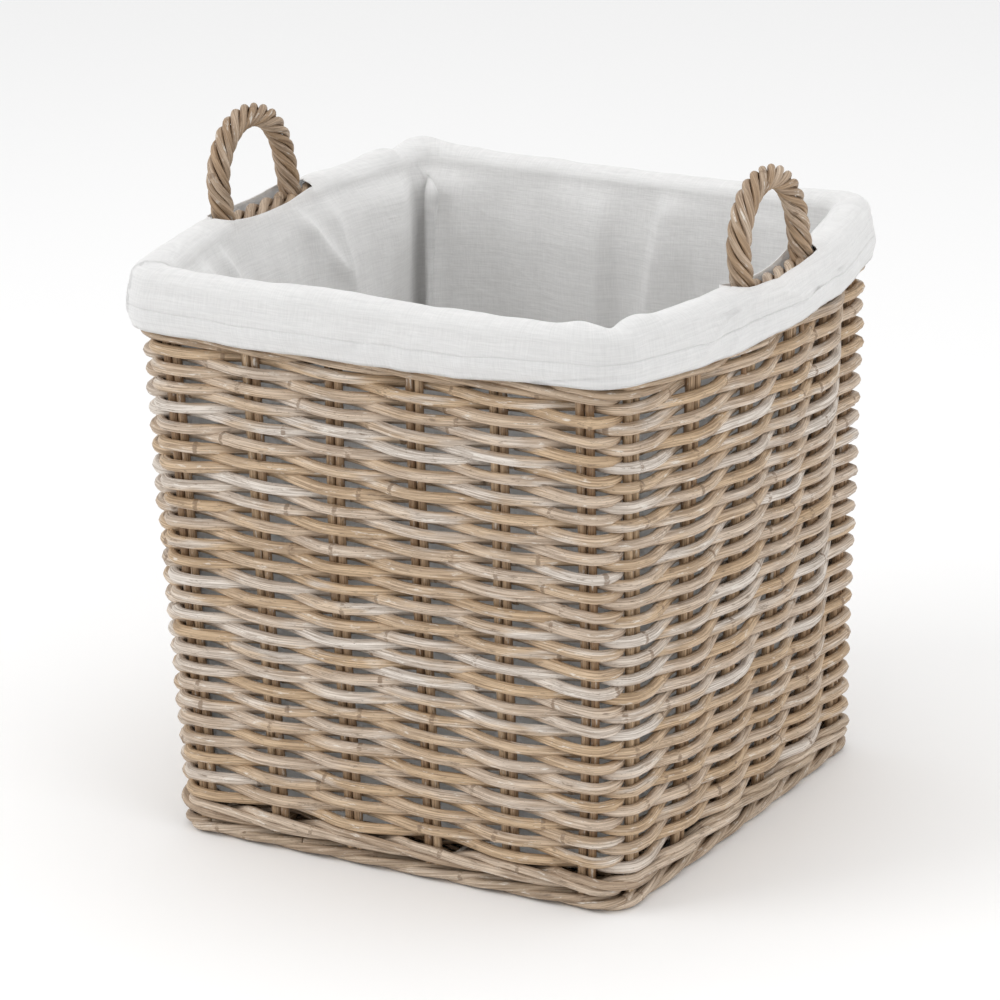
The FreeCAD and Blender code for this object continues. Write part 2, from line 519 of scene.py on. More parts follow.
def lay_route(turn, turns, middle, inset, high, wide, slant):
    """One rod of a border: it winds round the border's own middle line."""
    def route(mark):
        angle = turn + 2 * math.pi * turns * mark / LAPS
        aside = Vector((math.cos(angle) * wide, math.sin(angle) * high))
        point, facing = lap_place(mark, middle + aside.y, inset + aside.x + slant * aside.y)
        around = facing * math.cos(angle) + Vector((0, 0, math.sin(angle)))
        return point, around
    return route


def border(pile, dice, rods, turns, radius, middle, inset, high, wide, slant=0.0):
    """Rods that wind round each other along the edge of the wall."""
    for index in range(rods):
        turn = 2 * math.pi * index / rods
        first = dice.uniform(0, LAPS)
        for start, stop in cut_round(first, lambda: dice.uniform(7, 13), SHORT_WEAVER):
            rod = Rod(dice, radius)
            route = lay_route(turn, turns, middle, inset, high, wide, slant)
            pile.add(rod, marks_between(start, stop, BORDER_GAP), route)


def weave_foot():
    """The foot's border and the wale over it."""
    size = settings()
    dice = random.Random(23)
    material = rattan_material("foot_rattan", size.foot_colour, size.handle_pale, size.handle_colour)
    pile = Pile()
    radius = FOOT_BORDER_HIGH / 2 - size.foot_lay
    border(pile, dice, 4, FOOT_TURNS, radius, FOOT_BORDER_HIGH / 2, -size.wall / 2 - 0.003,
           size.foot_lay, size.wall / 2 - radius, 0.4)
    place_piece(pile.finish("foot_border_rods", material), "basket", "weave", "foot_border")
    pile = Pile()
    wale(pile, dice, FOOT_BORDER_HIGH + FOOT_WALE_LIFT * size.wale_radius)
    place_piece(pile.finish("foot_wale_rods", material), "basket", "weave", "foot_wale")


def weave_rim():
    """The top wale and the rolled rim border."""
    size = settings()
    dice = random.Random(31)
    material = rattan_material("rim_rattan", size.rim_colour, size.handle_pale, size.handle_colour)
    pile = Pile()
    for row in range(2):
        wale(pile, dice, WEAVE_HIGH + (TOP_WALE_LIFT + TOP_WALE_PITCH * row) * size.wale_radius)
    place_piece(pile.finish("top_wale_rods", material), "basket", "weave", "top_wale")
    pile = Pile()
    middle = (BODY_HEIGHT + RIM_LOW) / 2
    high = (BODY_HEIGHT - RIM_LOW) / 2 - size.rim_rod_radius
    inset = RIM_PROUD - size.rim_rod_radius - size.rim_lay
    border(pile, dice, 5, RIM_TURNS, size.rim_rod_radius, middle, inset, high, size.rim_lay)
    border(pile, dice, 1, 1, size.rim_rod_radius, middle, inset, 0.0, 0.0)
    place_piece(pile.finish("rim_border_rods", material), "basket", "weave", "rim_border")


# ---- The base ----

def straight_route(start, end, wave=None):
    """A straight line that a rod follows, with an upward wave along it if there is one."""
    def route(share):
        point = start.lerp(end, share)
        if wave:
            point = point + Vector((0, 0, wave(point)))
        return point, Vector((0, 0, 1))
    return route


def weave_base():
    """Sticks from front to back, and thin rods woven over and under them."""
    size = settings()
    dice = random.Random(41)
    material = rattan_material("base_rattan", size.stake_colour, size.weaver_pale, size.stake_brown)
    level = (STICKS[0].z + STICKS[1].z) / 2
    stick_radius = (STICKS[1].z - STICKS[0].z) / 2
    reach = STICKS[1].x - stick_radius
    places = [reach * (2 * stick / (size.base_sticks - 1) - 1) for stick in range(size.base_sticks)]
    pile = Pile()
    radius = stick_radius - 0.0008
    for place in places:
        start = Vector((place, STICKS[0].y, level))
        end = Vector((place, STICKS[1].y, level))
        pile.add(Rod(dice, radius), spread(0, 1, 0.05), straight_route(start, end))
    place_piece(pile.finish("base_stick_rods", material), "basket", "base", "base_sticks")

    pile = Pile()
    thin = (BASE[1].z - BASE[0].z - 2 * radius) / 4
    spacing = places[1] - places[0]
    edge = BASE[1].y - thin - 0.003
    rows = int(2 * edge / (2 * thin + 0.0004))
    for row in range(rows + 1):
        y = edge * (2 * row / rows - 1)
        flip = 1 if row % 2 else -1

        def wave(point, flip=flip):
            return flip * (radius + thin) * math.cos(math.pi * (point.x - places[0]) / spacing)

        half = BASE[1].x - 0.006
        start = Vector((-half, y, level))
        route = straight_route(start, Vector((half, y, level)), wave)
        pile.add(Rod(dice, thin, 6), spread(0, 1, 0.02), route)
    place_piece(pile.finish("base_weavers", material), "basket", "base", "base_weave")


# ---- The handles ----

ROPE_RADIUS = (ROPE[1].x - ROPE[0].x) / 2
# Distance between the rings of a handle's rods, and of its core.
ROPE_STEP = 0.0035
CORE_STEP = 0.008
# Half the way between a handle's two legs, and the height at which its arch starts.
SPAN = ROPE[1].y - ROPE_RADIUS
ARCH_LEVEL = ROPE[1].z - ROPE_RADIUS - SPAN


def arch_place(travel, foot, sign):
    """A point of a handle's middle line, and the way along it, from its near foot."""
    x = sign * (ROPE[1].x - ROPE_RADIUS)
    leg = ARCH_LEVEL - foot
    if travel < leg:
        return Vector((x, -SPAN, foot + travel)), Vector((0, 0, 1))
    angle = (travel - leg) / SPAN
    if angle < math.pi:
        place = Vector((x, -SPAN * math.cos(angle), ARCH_LEVEL + SPAN * math.sin(angle)))
        return place, Vector((0, math.sin(angle), math.cos(angle)))
    down = travel - leg - math.pi * SPAN
    return Vector((x, SPAN, ARCH_LEVEL - down)), Vector((0, 0, -1))


def arch_length(foot):
    return 2 * (ARCH_LEVEL - foot) + math.pi * SPAN


def leant(point):
    """A handle's point moved a little, since it was bent by hand and leans."""
    size = settings()
    share = max(point.z - BODY_HEIGHT, 0) / (ROPE[1].z - BODY_HEIGHT)
    return point + Vector((-size.handle_lean * share, -size.handle_shift * min(share * 3, 1), 0))


def rope_route(turn, lay, reach, foot, sign):
    """One rod of a rope handle, which winds round the handle's middle line."""
    def route(travel):
        middle, ahead = arch_place(travel, foot, sign)
        across = Vector((1, 0, 0))
        angle = turn - 2 * math.pi * travel / lay
        around = across * math.cos(angle) + ahead.cross(across) * math.sin(angle)
        return leant(middle + around * reach), around
    return route


def twist_handles():
    """Rope handles: five rods twisted round a thin core that runs down inside the wall."""
    size = settings()
    dice = random.Random(53)
    rope_material = rattan_material("handle_rattan", size.handle_colour, size.handle_pale,
                                    size.handle_brown)
    core_material = rattan_material("core_rattan", size.stake_brown, size.stake_colour,
                                    size.stake_brown)
    foot = ROPE[0].z - size.rope_depth
    core_foot = CORE[0].z
    for side, sign in (("left", -1), ("right", 1)):

        def core_route(travel):
            return leant(arch_place(travel, core_foot, sign)[0]), Vector((sign, 0, 0))

        pile = Pile()
        for index in range(size.rope_strands):
            rod = Rod(dice, size.strand_radius, 10)
            turn = 2 * math.pi * index / size.rope_strands
            route = rope_route(turn, size.rope_lay, ROPE_RADIUS - size.strand_radius, foot, sign)
            pile.add(rod, spread(0, arch_length(foot), ROPE_STEP), route)
        rope = pile.finish("rope_" + side, rope_material)
        place_piece(rope, "basket", "handle_rope", "handle_rope_" + side)
        pile = Pile()
        marks = spread(0, arch_length(core_foot), CORE_STEP)
        pile.add(Rod(dice, size.core_radius), marks, core_route)
        core = pile.finish("core_" + side, core_material)
        place_piece(core, "basket", "handle_core", "handle_core_" + side)


# ---- The liner ----

# Each fold of the hanging cloth is a ridge that stands in from the wall. A place round
# the basket is counted in sides: 0 to 1 is the front, 1 to 2 the right, 2 to 3 the back
# and 3 to 4 the left. A fold has its place and height at its upper end, then at its
# lower end, how far it stands in, and its width on either side, in metres.
WALL_FOLDS = (
    (3.095, 0.506, 3.400, 0.260, 0.022, 0.045, 0.110),
    (3.050, 0.500, 3.035, 0.300, -0.008, 0.012, 0.020),
    (3.020, 0.506, 2.965, 0.300, 0.030, 0.030, 0.007),
    (2.905, 0.503, 2.880, 0.250, 0.006, 0.050, 0.010),
    (2.63, 0.490, 2.64, 0.200, 0.007, 0.050, 0.020),
    (2.54, 0.462, 2.545, 0.300, 0.0080, 0.008, 0.030),
    (2.39, 0.506, 2.48, 0.250, 0.0100, 0.030, 0.008),
    (2.20, 0.480, 2.23, 0.250, 0.0070, 0.040, 0.020),
    (3.97, 0.503, 3.93, 0.400, 0.0160, 0.030, 0.010),
    (3.86, 0.506, 3.77, 0.400, 0.0160, 0.012, 0.030),
    (3.76, 0.503, 3.62, 0.400, 0.0080, 0.010, 0.024),
    (3.45, 0.506, 3.35, 0.430, 0.0090, 0.008, 0.014),
    (3.335, 0.490, 3.320, 0.250, 0.0070, 0.010, 0.008),
    (1.15, 0.495, 1.22, 0.250, 0.0120, 0.040, 0.016),
    (1.48, 0.495, 1.45, 0.200, 0.0070, 0.020, 0.040),
    (1.80, 0.495, 1.83, 0.280, 0.0090, 0.014, 0.035),
    (0.20, 0.495, 0.26, 0.220, 0.0090, 0.030, 0.012),
    (0.55, 0.495, 0.52, 0.300, 0.0060, 0.016, 0.035),
    (0.83, 0.495, 0.80, 0.220, 0.0110, 0.040, 0.016),
)

# Each crease of the turned-down cuff: place and height of both its ends, how far it
# stands out, and its width on either side.
CUFF_FOLDS = (
    (0.86, 0.462, 0.985, 0.474, -0.0030, 0.008, 0.012),
    (0.60, 0.458, 0.63, 0.492, 0.0018, 0.006, 0.008),
    (0.49, 0.468, 0.55, 0.494, -0.0020, 0.008, 0.006),
    (0.71, 0.456, 0.74, 0.490, 0.0016, 0.006, 0.007),
    (0.33, 0.460, 0.345, 0.498, 0.0014, 0.006, 0.006),
    (1.16, 0.470, 1.26, 0.492, 0.0036, 0.008, 0.014),
    (1.26, 0.492, 1.44, 0.497, 0.0034, 0.008, 0.014),
    (1.44, 0.497, 1.53, 0.478, 0.0036, 0.008, 0.014),
    (1.27, 0.458, 1.29, 0.472, 0.0024, 0.006, 0.008),
    (1.60, 0.479, 1.90, 0.484, -0.0028, 0.008, 0.012),
    (2.25, 0.460, 2.33, 0.490, 0.0018, 0.004, 0.008),
    (2.72, 0.462, 2.60, 0.492, 0.0016, 0.004, 0.008),
    (3.20, 0.490, 3.05, 0.462, 0.0020, 0.004, 0.009),
    (3.72, 0.462, 3.85, 0.492, 0.0020, 0.004, 0.009),
)

# Wide hollows and swellings of the cuff: place, height, half width, half height, rise.
CUFF_HOLLOWS = (
    (1.33, 0.482, 0.040, 0.014, -0.0050),
    (1.13, 0.470, 0.030, 0.016, 0.0035),
    (1.55, 0.470, 0.045, 0.014, 0.0030),
    (0.30, 0.478, 0.120, 0.016, 0.0030),
    (0.03, 0.484, 0.060, 0.018, -0.0010),
    (3.93, 0.480, 0.050, 0.018, 0.0010),
    (1.98, 0.484, 0.060, 0.018, -0.0015),
    (1.00, 0.480, 0.060, 0.018, -0.0020),
    (0.78, 0.478, 0.060, 0.014, 0.0025),
    (2.50, 0.478, 0.080, 0.016, 0.0035),
    (3.40, 0.476, 0.060, 0.016, 0.0030),
)


# Rises and dips of the fold over the rim: place and width in sides, and rise. The cloth
# is pinched down between two small peaks at the near corner and at the far one.
RIM_RISES = (
    (2.48, 0.28, -0.0030),
    (0.40, 0.16, 0.0030),
    (0, 0.10, 0.0030),
    (2, 0.10, 0.0030),
    (3, 0.10, 0.0030),
    (0.955, 0.035, 0.0045),
    (1.060, 0.035, 0.0040),
    (1.008, 0.018, -0.0030),
    (3.10, 0.040, 0.0040),
    (2.985, 0.040, 0.0045),
    (3.05, 0.020, -0.0035),
)

# Share of each side's columns that keep their place on every level.
STEADY_SHARE = 0.74
# Length of a side along the hanging cloth, and along the fold over the rim.
SIDE_METRES = 0.42
# 1 gives every fold a knife edge, 2 a round back.
FOLD_POINT = 1.3
# Least radius of the cloth in the inner corners.
INNER_CORNER = 0.016
# Share of the outer cloth's rows that lie in the fold over the rim.
TURN_SHARE = 0.4
HEM_HIGH = 0.0205
HEM_TURNED_IN = 0.004
# Share of the hem's rows that are turned in under its lower edge.
HEM_FOLD = 0.15


def cloth_place(around, level, offset, corner=0.0):
    """A point of the cloth, and the way out of the wall there.

    around counts the sides from the front's left end. The columns of the cloth keep
    their place on every level, and only spread where they go round a corner.
    """
    size = settings()
    side = math.floor(around) % 4
    share = 2 * (around - math.floor(around)) - 1
    half = corner_half_at(level) + offset
    radius = max(size.corner_radius + offset, corner)
    flat = half - radius
    length = flat + radius * math.pi / 4
    if abs(share) < STEADY_SHARE:
        travel = abs(share) / STEADY_SHARE * size.steady_cloth
    else:
        past = (abs(share) - STEADY_SHARE) / (1 - STEADY_SHARE)
        travel = size.steady_cloth + (length - size.steady_cloth) * past
    travel = math.copysign(travel, share)
    if abs(travel) > flat:
        turn = math.copysign((abs(travel) - flat) / radius, travel)
        out = Vector((math.sin(turn), -math.cos(turn), 0))
        point = Vector((math.copysign(flat, travel), -flat, level)) + out * radius
    else:
        bulge = bulge_at(side, level)
        depth = half + bulge * (1 - (travel / flat) ** 2)
        out = Vector((2 * bulge * travel / flat ** 2, -1, 0)).normalized()
        point = Vector((travel, -depth, level))
    spin = Matrix.Rotation(math.pi / 2 * side, 3, "Z")
    return spin @ point, spin @ out


def cloth_travel(around):
    """Distance from the middle of its side to a column of the cloth, on the flat part."""
    share = 2 * (around - math.floor(around)) - 1
    return share / STEADY_SHARE * settings().steady_cloth


def side_of(around):
    return SIDES[math.floor(around) % 4]


def round_trip(first, second):
    """Shortest way round the basket from one place to another, counted in sides."""
    return (second - first + 2) % 4 - 2


def ridge(around, level, fold):
    """How far one fold moves the cloth at a place."""
    place, high, low_place, low, rise, before, after = fold
    if low == high:
        return 0.0
    share = (high - level) / (high - low)
    if share < -0.3 or share > 1.3:
        return 0.0
    centre = place + round_trip(place, low_place) * min(max(share, -0.1), 1.1)
    aside = round_trip(centre, around) * SIDE_METRES
    width = before if aside < 0 else after
    if abs(aside) > 5 * width:
        return 0.0
    fade = eased((share + 0.3) / 0.35) * eased((1.3 - share) / 0.5)
    return rise * fade * math.exp(-(abs(aside) / width) ** FOLD_POINT)


def hill(aside, width):
    """A smooth rise of 1 that fades out over its width."""
    return math.exp(-(aside / width) ** 2)


def ring_noise(around, level, fine, tall, seed):
    """Smooth noise that meets itself round the basket."""
    angle = around * math.pi / 2
    place = Vector((math.cos(angle) * fine, math.sin(angle) * fine, level * tall + seed))
    return noise.noise(place)


def wrinkle(around, level, fine, tall, seed):
    """Sharp little ridges, as in cloth that was folded away."""
    return (0.5 - abs(ring_noise(around, level, fine, tall, seed))) * 2 - 0.7


def hang(around, level):
    """How far the cloth stands in from the wall."""
    size = settings()
    depth = RIM.z - level
    above_floor = level - LINER_FLOOR[1].z
    drape = 0.008 + 0.005 * ring_noise(around, level, 5.5, 2.5, 3.1)
    drape += 0.004 * ring_noise(around, level, 13, 4, 9.7)
    drape += 0.0003 * wrinkle(around, level, 9, 16, 4.4)
    # The cloth is pulled into the corners.
    drape *= 1 - 0.9 * max(hill(round_trip(place, around) * SIDE_METRES, 0.018) for place in range(4))
    loose = eased(depth / 0.07) * eased(above_floor / 0.05)
    folds = sum(ridge(around, level, fold) for fold in WALL_FOLDS)
    folds *= eased(depth / 0.03) * eased(above_floor / 0.06)
    return size.drape * (max(drape, 0) * loose + folds)


def cuff_rise(around, level):
    """How far the cuff stands out, over its plain shape."""
    rise = sum(ridge(around, level, fold) for fold in CUFF_FOLDS)
    for place, middle, wide, high, lift in CUFF_HOLLOWS:
        aside = round_trip(place, around) * SIDE_METRES
        rise += lift * hill(aside, wide) * hill(level - middle, high)
    rise += 0.0014 * ring_noise(around, level, 8, 14, 1.9)
    return rise + 0.0006 * wrinkle(around, level, 16, 45, 6.6)


def slot_opening(around):
    """1 where the slot for a handle is open, 0 where the cloth goes over the rim."""
    if side_of(around) not in HANDLE_SIDES:
        return 0.0
    reach = settings().slot_half
    return eased((reach + 0.005 - abs(cloth_travel(around))) / 0.011)


def slot_end(around):
    """0 at the middle of a slot and 1 at its ends, where its edges climb the rim."""
    return min(abs(cloth_travel(around)) / 0.06, 1) ** 2


def rim_sag(around):
    """How far the fold over the rim sags or rises."""
    sag = sum(rise * hill(round_trip(place, around), wide) for place, wide, rise in RIM_RISES)
    return sag + 0.0014 * ring_noise(around, 0, 12, 1, 5.5)


def inner_cloth(around, share):
    """The cloth from the floor's edge up the wall, and over the rim to its middle."""
    size = settings()
    low = LINER_FLOOR[1].z
    high = size.cloth_turn
    rise = (high - low) / (high - low + 0.025)
    if share < rise:
        level = low + (high - low) * share / rise
        point, out = cloth_place(around, level, size.cloth_inset, INNER_CORNER)
        return point - out * hang(around, level)
    part = (share - rise) / (1 - rise)
    point, out = cloth_place(around, high, size.cloth_inset, INNER_CORNER)
    base = point - out * hang(around, high)
    top, facing = cloth_place(around, size.cloth_top, -size.wall / 2, INNER_CORNER)
    top.z += rim_sag(around)
    theta = part * math.pi / 2
    closed = base.lerp(top, 1 - math.cos(theta))
    closed.z = base.z + (top.z - base.z) * math.sin(theta)
    opened = slot_opening(around)
    if opened == 0:
        return closed
    stand = 0.0035 + 0.0065 * slot_end(around)
    lip = base + Vector((0, 0, stand * part)) + facing * 0.0012 * part
    return closed.lerp(lip, opened)


def outer_cloth(around, share):
    """The cloth from the middle of the rim out and down to the cuff's lower edge."""
    size = settings()
    top = cloth_place(around, size.cloth_top, -size.wall / 2)[0]
    top.z += rim_sag(around)
    high = size.cloth_turn
    if share > TURN_SHARE:
        down = (share - TURN_SHARE) / (1 - TURN_SHARE)
        level = high + (cuff_low(around) - high) * down
        belly = math.sin(math.pi * down)
        stand = size.cuff_out + size.cuff_belly * belly + cuff_rise(around, level)
        return cloth_place(around, level, stand)[0]
    point, out = cloth_place(around, high, size.cuff_out + cuff_rise(around, high))
    part = 1 - share / TURN_SHARE
    theta = part * math.pi / 2
    closed = point.lerp(top, 1 - math.cos(theta))
    closed.z = point.z + (top.z - point.z) * math.sin(theta)
    closed += out * cuff_rise(around, closed.z) * 0.5 * math.cos(theta)
    opened = slot_opening(around)
    if opened == 0:
        return closed
    stand = 0.0085 + 0.0025 * slot_end(around)
    lip = point + Vector((0, 0, stand * part)) - out * 0.0055 * part ** 1.5
    return closed.lerp(lip, opened)


def cuff_low(around):
    """Height of the cuff's lower edge."""
    low = HEM[0].z + 0.0030 + 0.0018 * ring_noise(around, 0, 7, 1, 8.1)
    return low + 0.0055 * hill(round_trip(0.97, around), 0.22)


def cloth_grid(mesh, columns, shares, place, layer, start):
    """A ring of cloth: columns round the basket, and a row at each share of its height."""
    grid = bmesh.ops.create_grid(mesh, x_segments=columns, y_segments=len(shares) - 1, size=0.5)
    for vert in grid["verts"]:
        around = 4 * (vert.co.x + 0.5)
        share = shares[round((vert.co.y + 0.5) * (len(shares) - 1))]
        point = place(around % 4, share)
        vert[layer] = Vector((around * SIDE_METRES, start + point.z, 0))
        vert.co = point
    return grid["verts"]


def rows_between(first, last, count):
    """Shares from first to last in equal steps, without the last."""
    return [first + (last - first) * row / count for row in range(count)]


def sewn(name, mesh, material):
    """A finished piece of cloth from its grids, with the cloth's thickness."""
    bmesh.ops.remove_doubles(mesh, verts=mesh.verts, dist=0.00002)
    bmesh.ops.recalc_face_normals(mesh, faces=mesh.faces)
    for face in mesh.faces:
        face.smooth = True
    piece = made(name, mesh, material)
    solidify = piece.modifiers.new("thickness", "SOLIDIFY")
    solidify.thickness = settings().cloth_thickness
    solidify.offset = 0
    return piece


def hang_liner():
    """One bag of cotton with its hem: floor, walls, the fold over the rim and the cuff."""
    size = settings()
    low = LINER_FLOOR[1].z
    columns = 4 * size.cloth_columns

    def floor(around, share):
        point = inner_cloth(around, 0) * share
        swell = 0.004 * noise.noise(point * 18) * (1 - share)
        point.z = low + max(swell, 0) - 0.0006 * (1 - share)
        return point

    def hem_band(around, share):
        edge = cuff_low(around)
        if share < HEM_FOLD:
            stand = size.cuff_out - 0.0012 + cuff_rise(around, edge)
            point = cloth_place(around, edge - 0.0006, stand)[0]
            return point + Vector((0, 0, HEM_TURNED_IN * (1 - share / HEM_FOLD)))
        level = edge + HEM_HIGH * (share - HEM_FOLD) / (1 - HEM_FOLD)
        doubled = 0.0010 * eased((1.02 - share) / 0.3)
        belly = math.sin(math.pi * (size.cloth_turn - level) / (size.cloth_turn - edge))
        stand = size.cuff_out + size.cuff_belly * belly + cuff_rise(around, level) + doubled
        return cloth_place(around, level, stand)[0]

    mesh = bmesh.new()
    layer = mesh.verts.layers.float_vector.new("cloth")
    wall_rows = rows_between(0, 0.45, 16) + rows_between(0.45, 0.938, 56) + [0.938]
    wall_rows += rows_between(0.9487, 1, 9) + [1]
    cloth_grid(mesh, columns, wall_rows, inner_cloth, layer, 0)
    cuff_rows = rows_between(0, TURN_SHARE, 9) + rows_between(TURN_SHARE, 1, 14) + [1]
    cloth_grid(mesh, columns, cuff_rows, outer_cloth, layer, 0)
    cloth_grid(mesh, columns, rows_between(0, 1, 14) + [1], floor, layer, 0)
    bag = sewn("cotton_bag", mesh, cotton_material("calico", size.cloth_colour))
    panels = ["liner_%s_%s" % (part, side) for part in ("wall", "rim", "cuff") for side in SIDES]
    place_piece(bag, "liner", "cloth", "liner_floor", *panels)

    mesh = bmesh.new()
    layer = mesh.verts.layers.float_vector.new("cloth")
    hem_rows = [0] + rows_between(HEM_FOLD, 1, 9) + [1]
    cloth_grid(mesh, columns, hem_rows, hem_band, layer, 1)
    hem = sewn("stitched_hem", mesh, cotton_material("hem_calico", size.hem_colour))
    place_piece(hem, "liner", "hem", "liner_hem")

    floor_side = 2 * (corner_half_at(low) + size.cloth_inset)


# ---- Materials ----

# Tints of the rods' finish: the fibres' two shades, scuffs, flecks and worn knots.
FIBRE_DARK = (0.58, 0.52, 0.47, 1)
FIBRE_LIGHT = (1.3, 1.3, 1.3, 1)
SCUFF_PALE = (0.82, 0.78, 0.71, 1)
SCUFF_DARK = (0.16, 0.11, 0.07, 1)
FLECK = (0.12, 0.08, 0.05, 1)
KNOT_BROWN = (0.20, 0.13, 0.08, 1)


class Board:
    """A node tree, with short ways to add the nodes that the finishes are made of."""

    def __init__(self, tree):
        self.tree = tree

    def add(self, kind, place, **values):
        item = self.tree.nodes.new(kind)
        item.location = place
        for key, value in values.items():
            setattr(item, key, value)
        return item

    def feed(self, value, socket):
        """Links a node's output to a socket, or sets the socket to a plain value."""
        if isinstance(value, bpy.types.NodeSocket):
            self.tree.links.new(value, socket)
        else:
            socket.default_value = value

    def speckle(self, vector, scale, detail, roughness, place):
        """Noise, stretched by a scale along each way."""
        mapping = self.add("ShaderNodeMapping", (place[0] - 200, place[1]))
        mapping.inputs["Scale"].default_value = scale
        self.feed(vector, mapping.inputs["Vector"])
        texture = self.add("ShaderNodeTexNoise", place)
        texture.inputs["Scale"].default_value = 1
        texture.inputs["Detail"].default_value = detail
        texture.inputs["Roughness"].default_value = roughness
        self.feed(mapping.outputs["Vector"], texture.inputs["Vector"])
        return texture.outputs["Fac"]

    def ranged(self, value, low, high, place, to_low=0.0, to_high=1.0, kind="SMOOTHSTEP"):
        """A value brought from one range to another."""
        reach = self.add("ShaderNodeMapRange", place, interpolation_type=kind)
        self.feed(value, reach.inputs["Value"])
        reach.inputs["From Min"].default_value = low
        reach.inputs["From Max"].default_value = high
        reach.inputs["To Min"].default_value = to_low
        reach.inputs["To Max"].default_value = to_high
        return reach.outputs["Result"]

    def mixed(self, amount, first, second, place, blend="MIX"):
        mix = self.add("ShaderNodeMix", place, data_type="RGBA", blend_type=blend)
        self.feed(amount, mix.inputs["Factor"])
        self.feed(first, mix.inputs["A"])
        self.feed(second, mix.inputs["B"])
        return mix.outputs["Result"]

    def figured(self, operation, first, second, place):
        item = self.add("ShaderNodeMath", place, operation=operation)
        self.feed(first, item.inputs[0])
        self.feed(second, item.inputs[1])
        return item.outputs[0]


def new_group(name, inputs, outputs):
    """An empty node group with the sockets given, and its two end nodes."""
    tree = bpy.data.node_groups.new(name, "ShaderNodeTree")
    for title, kind in inputs:
        tree.interface.new_socket(title, in_out="INPUT", socket_type=kind)
    for title, kind in outputs:
        tree.interface.new_socket(title, in_out="OUTPUT", socket_type=kind)
    board = Board(tree)
    return board, board.add("NodeGroupInput", (-900, 0)), board.add("NodeGroupOutput", (900, 0))


def rod_grain_group():
    """Fibres, blotches, scuffs and knots of a weathered rod, in its own coordinates."""
    if "rod_grain" in bpy.data.node_groups:
        return bpy.data.node_groups["rod_grain"]
    board, start, end = new_group(
        "rod_grain",
        [("Colour", "NodeSocketColor"), ("Pale", "NodeSocketColor"), ("Brown", "NodeSocketColor"),
         ("Grain", "NodeSocketVector"), ("Tone", "NodeSocketFloat"), ("Knot", "NodeSocketFloat")],
        [("Colour", "NodeSocketColor"), ("Roughness", "NodeSocketFloat"),
         ("Height", "NodeSocketFloat")])
    speckle, ranged, mixed, figured = board.speckle, board.ranged, board.mixed, board.figured
    grain, tone = start.outputs["Grain"], start.outputs["Tone"]
    pale, brown = start.outputs["Pale"], start.outputs["Brown"]
    fibres = speckle(grain, (900, 900, 26), 3, 0.6, (-500, 300))
    blotches = speckle(grain, (60, 60, 11), 3, 0.55, (-500, 100))
    scuffs = speckle(grain, (260, 260, 60), 4, 0.7, (-500, -100))
    flecks = speckle(grain, (900, 900, 300), 2, 0.7, (-500, -500))
    base = mixed(ranged(tone, 0.45, 0.95, (-300, 500)), start.outputs["Colour"], brown, (-100, 500))
    base = mixed(ranged(tone, 0.35, 0.02, (-300, 700)), base, pale, (50, 500))
    base = mixed(ranged(blotches, 0.50, 0.66, (-300, 100), 0, 0.75), base, brown, (200, 400))
    base = mixed(ranged(blotches, 0.46, 0.32, (-300, 0), 0, 0.75), base, pale, (300, 300))
    shade = mixed(ranged(fibres, 0.3, 0.7, (-300, 300)), FIBRE_DARK, FIBRE_LIGHT, (200, 100))
    base = mixed(1, base, shade, (400, 200), "MULTIPLY")
    base = mixed(ranged(scuffs, 0.58, 0.70, (-300, -100), 0, 0.7), base, SCUFF_PALE, (500, 100))
    base = mixed(ranged(scuffs, 0.42, 0.30, (-300, -200), 0, 0.7), base, SCUFF_DARK, (600, 0))
    base = mixed(ranged(flecks, 0.36, 0.26, (-300, -500), 0, 0.7), base, FLECK, (650, 0))
    worn = figured("MULTIPLY", ranged(start.outputs["Knot"], 0.05, 0.8, (100, -200)),
                   ranged(scuffs, 0.38, 0.56, (100, -350)), (200, -250))
    base = mixed(ranged(worn, 0.25, 0.8, (300, -200), 0, 0.7), base, KNOT_BROWN, (700, 100))
    height = figured("ADD", fibres, figured("MULTIPLY", scuffs, 0.8, (300, -300)), (500, -300))
    rough = ranged(blotches, 0.3, 0.7, (500, -500), 0.62, 0.42)
    board.feed(base, end.inputs["Colour"])
    board.feed(rough, end.inputs["Roughness"])
    board.feed(height, end.inputs["Height"])
    return board.tree


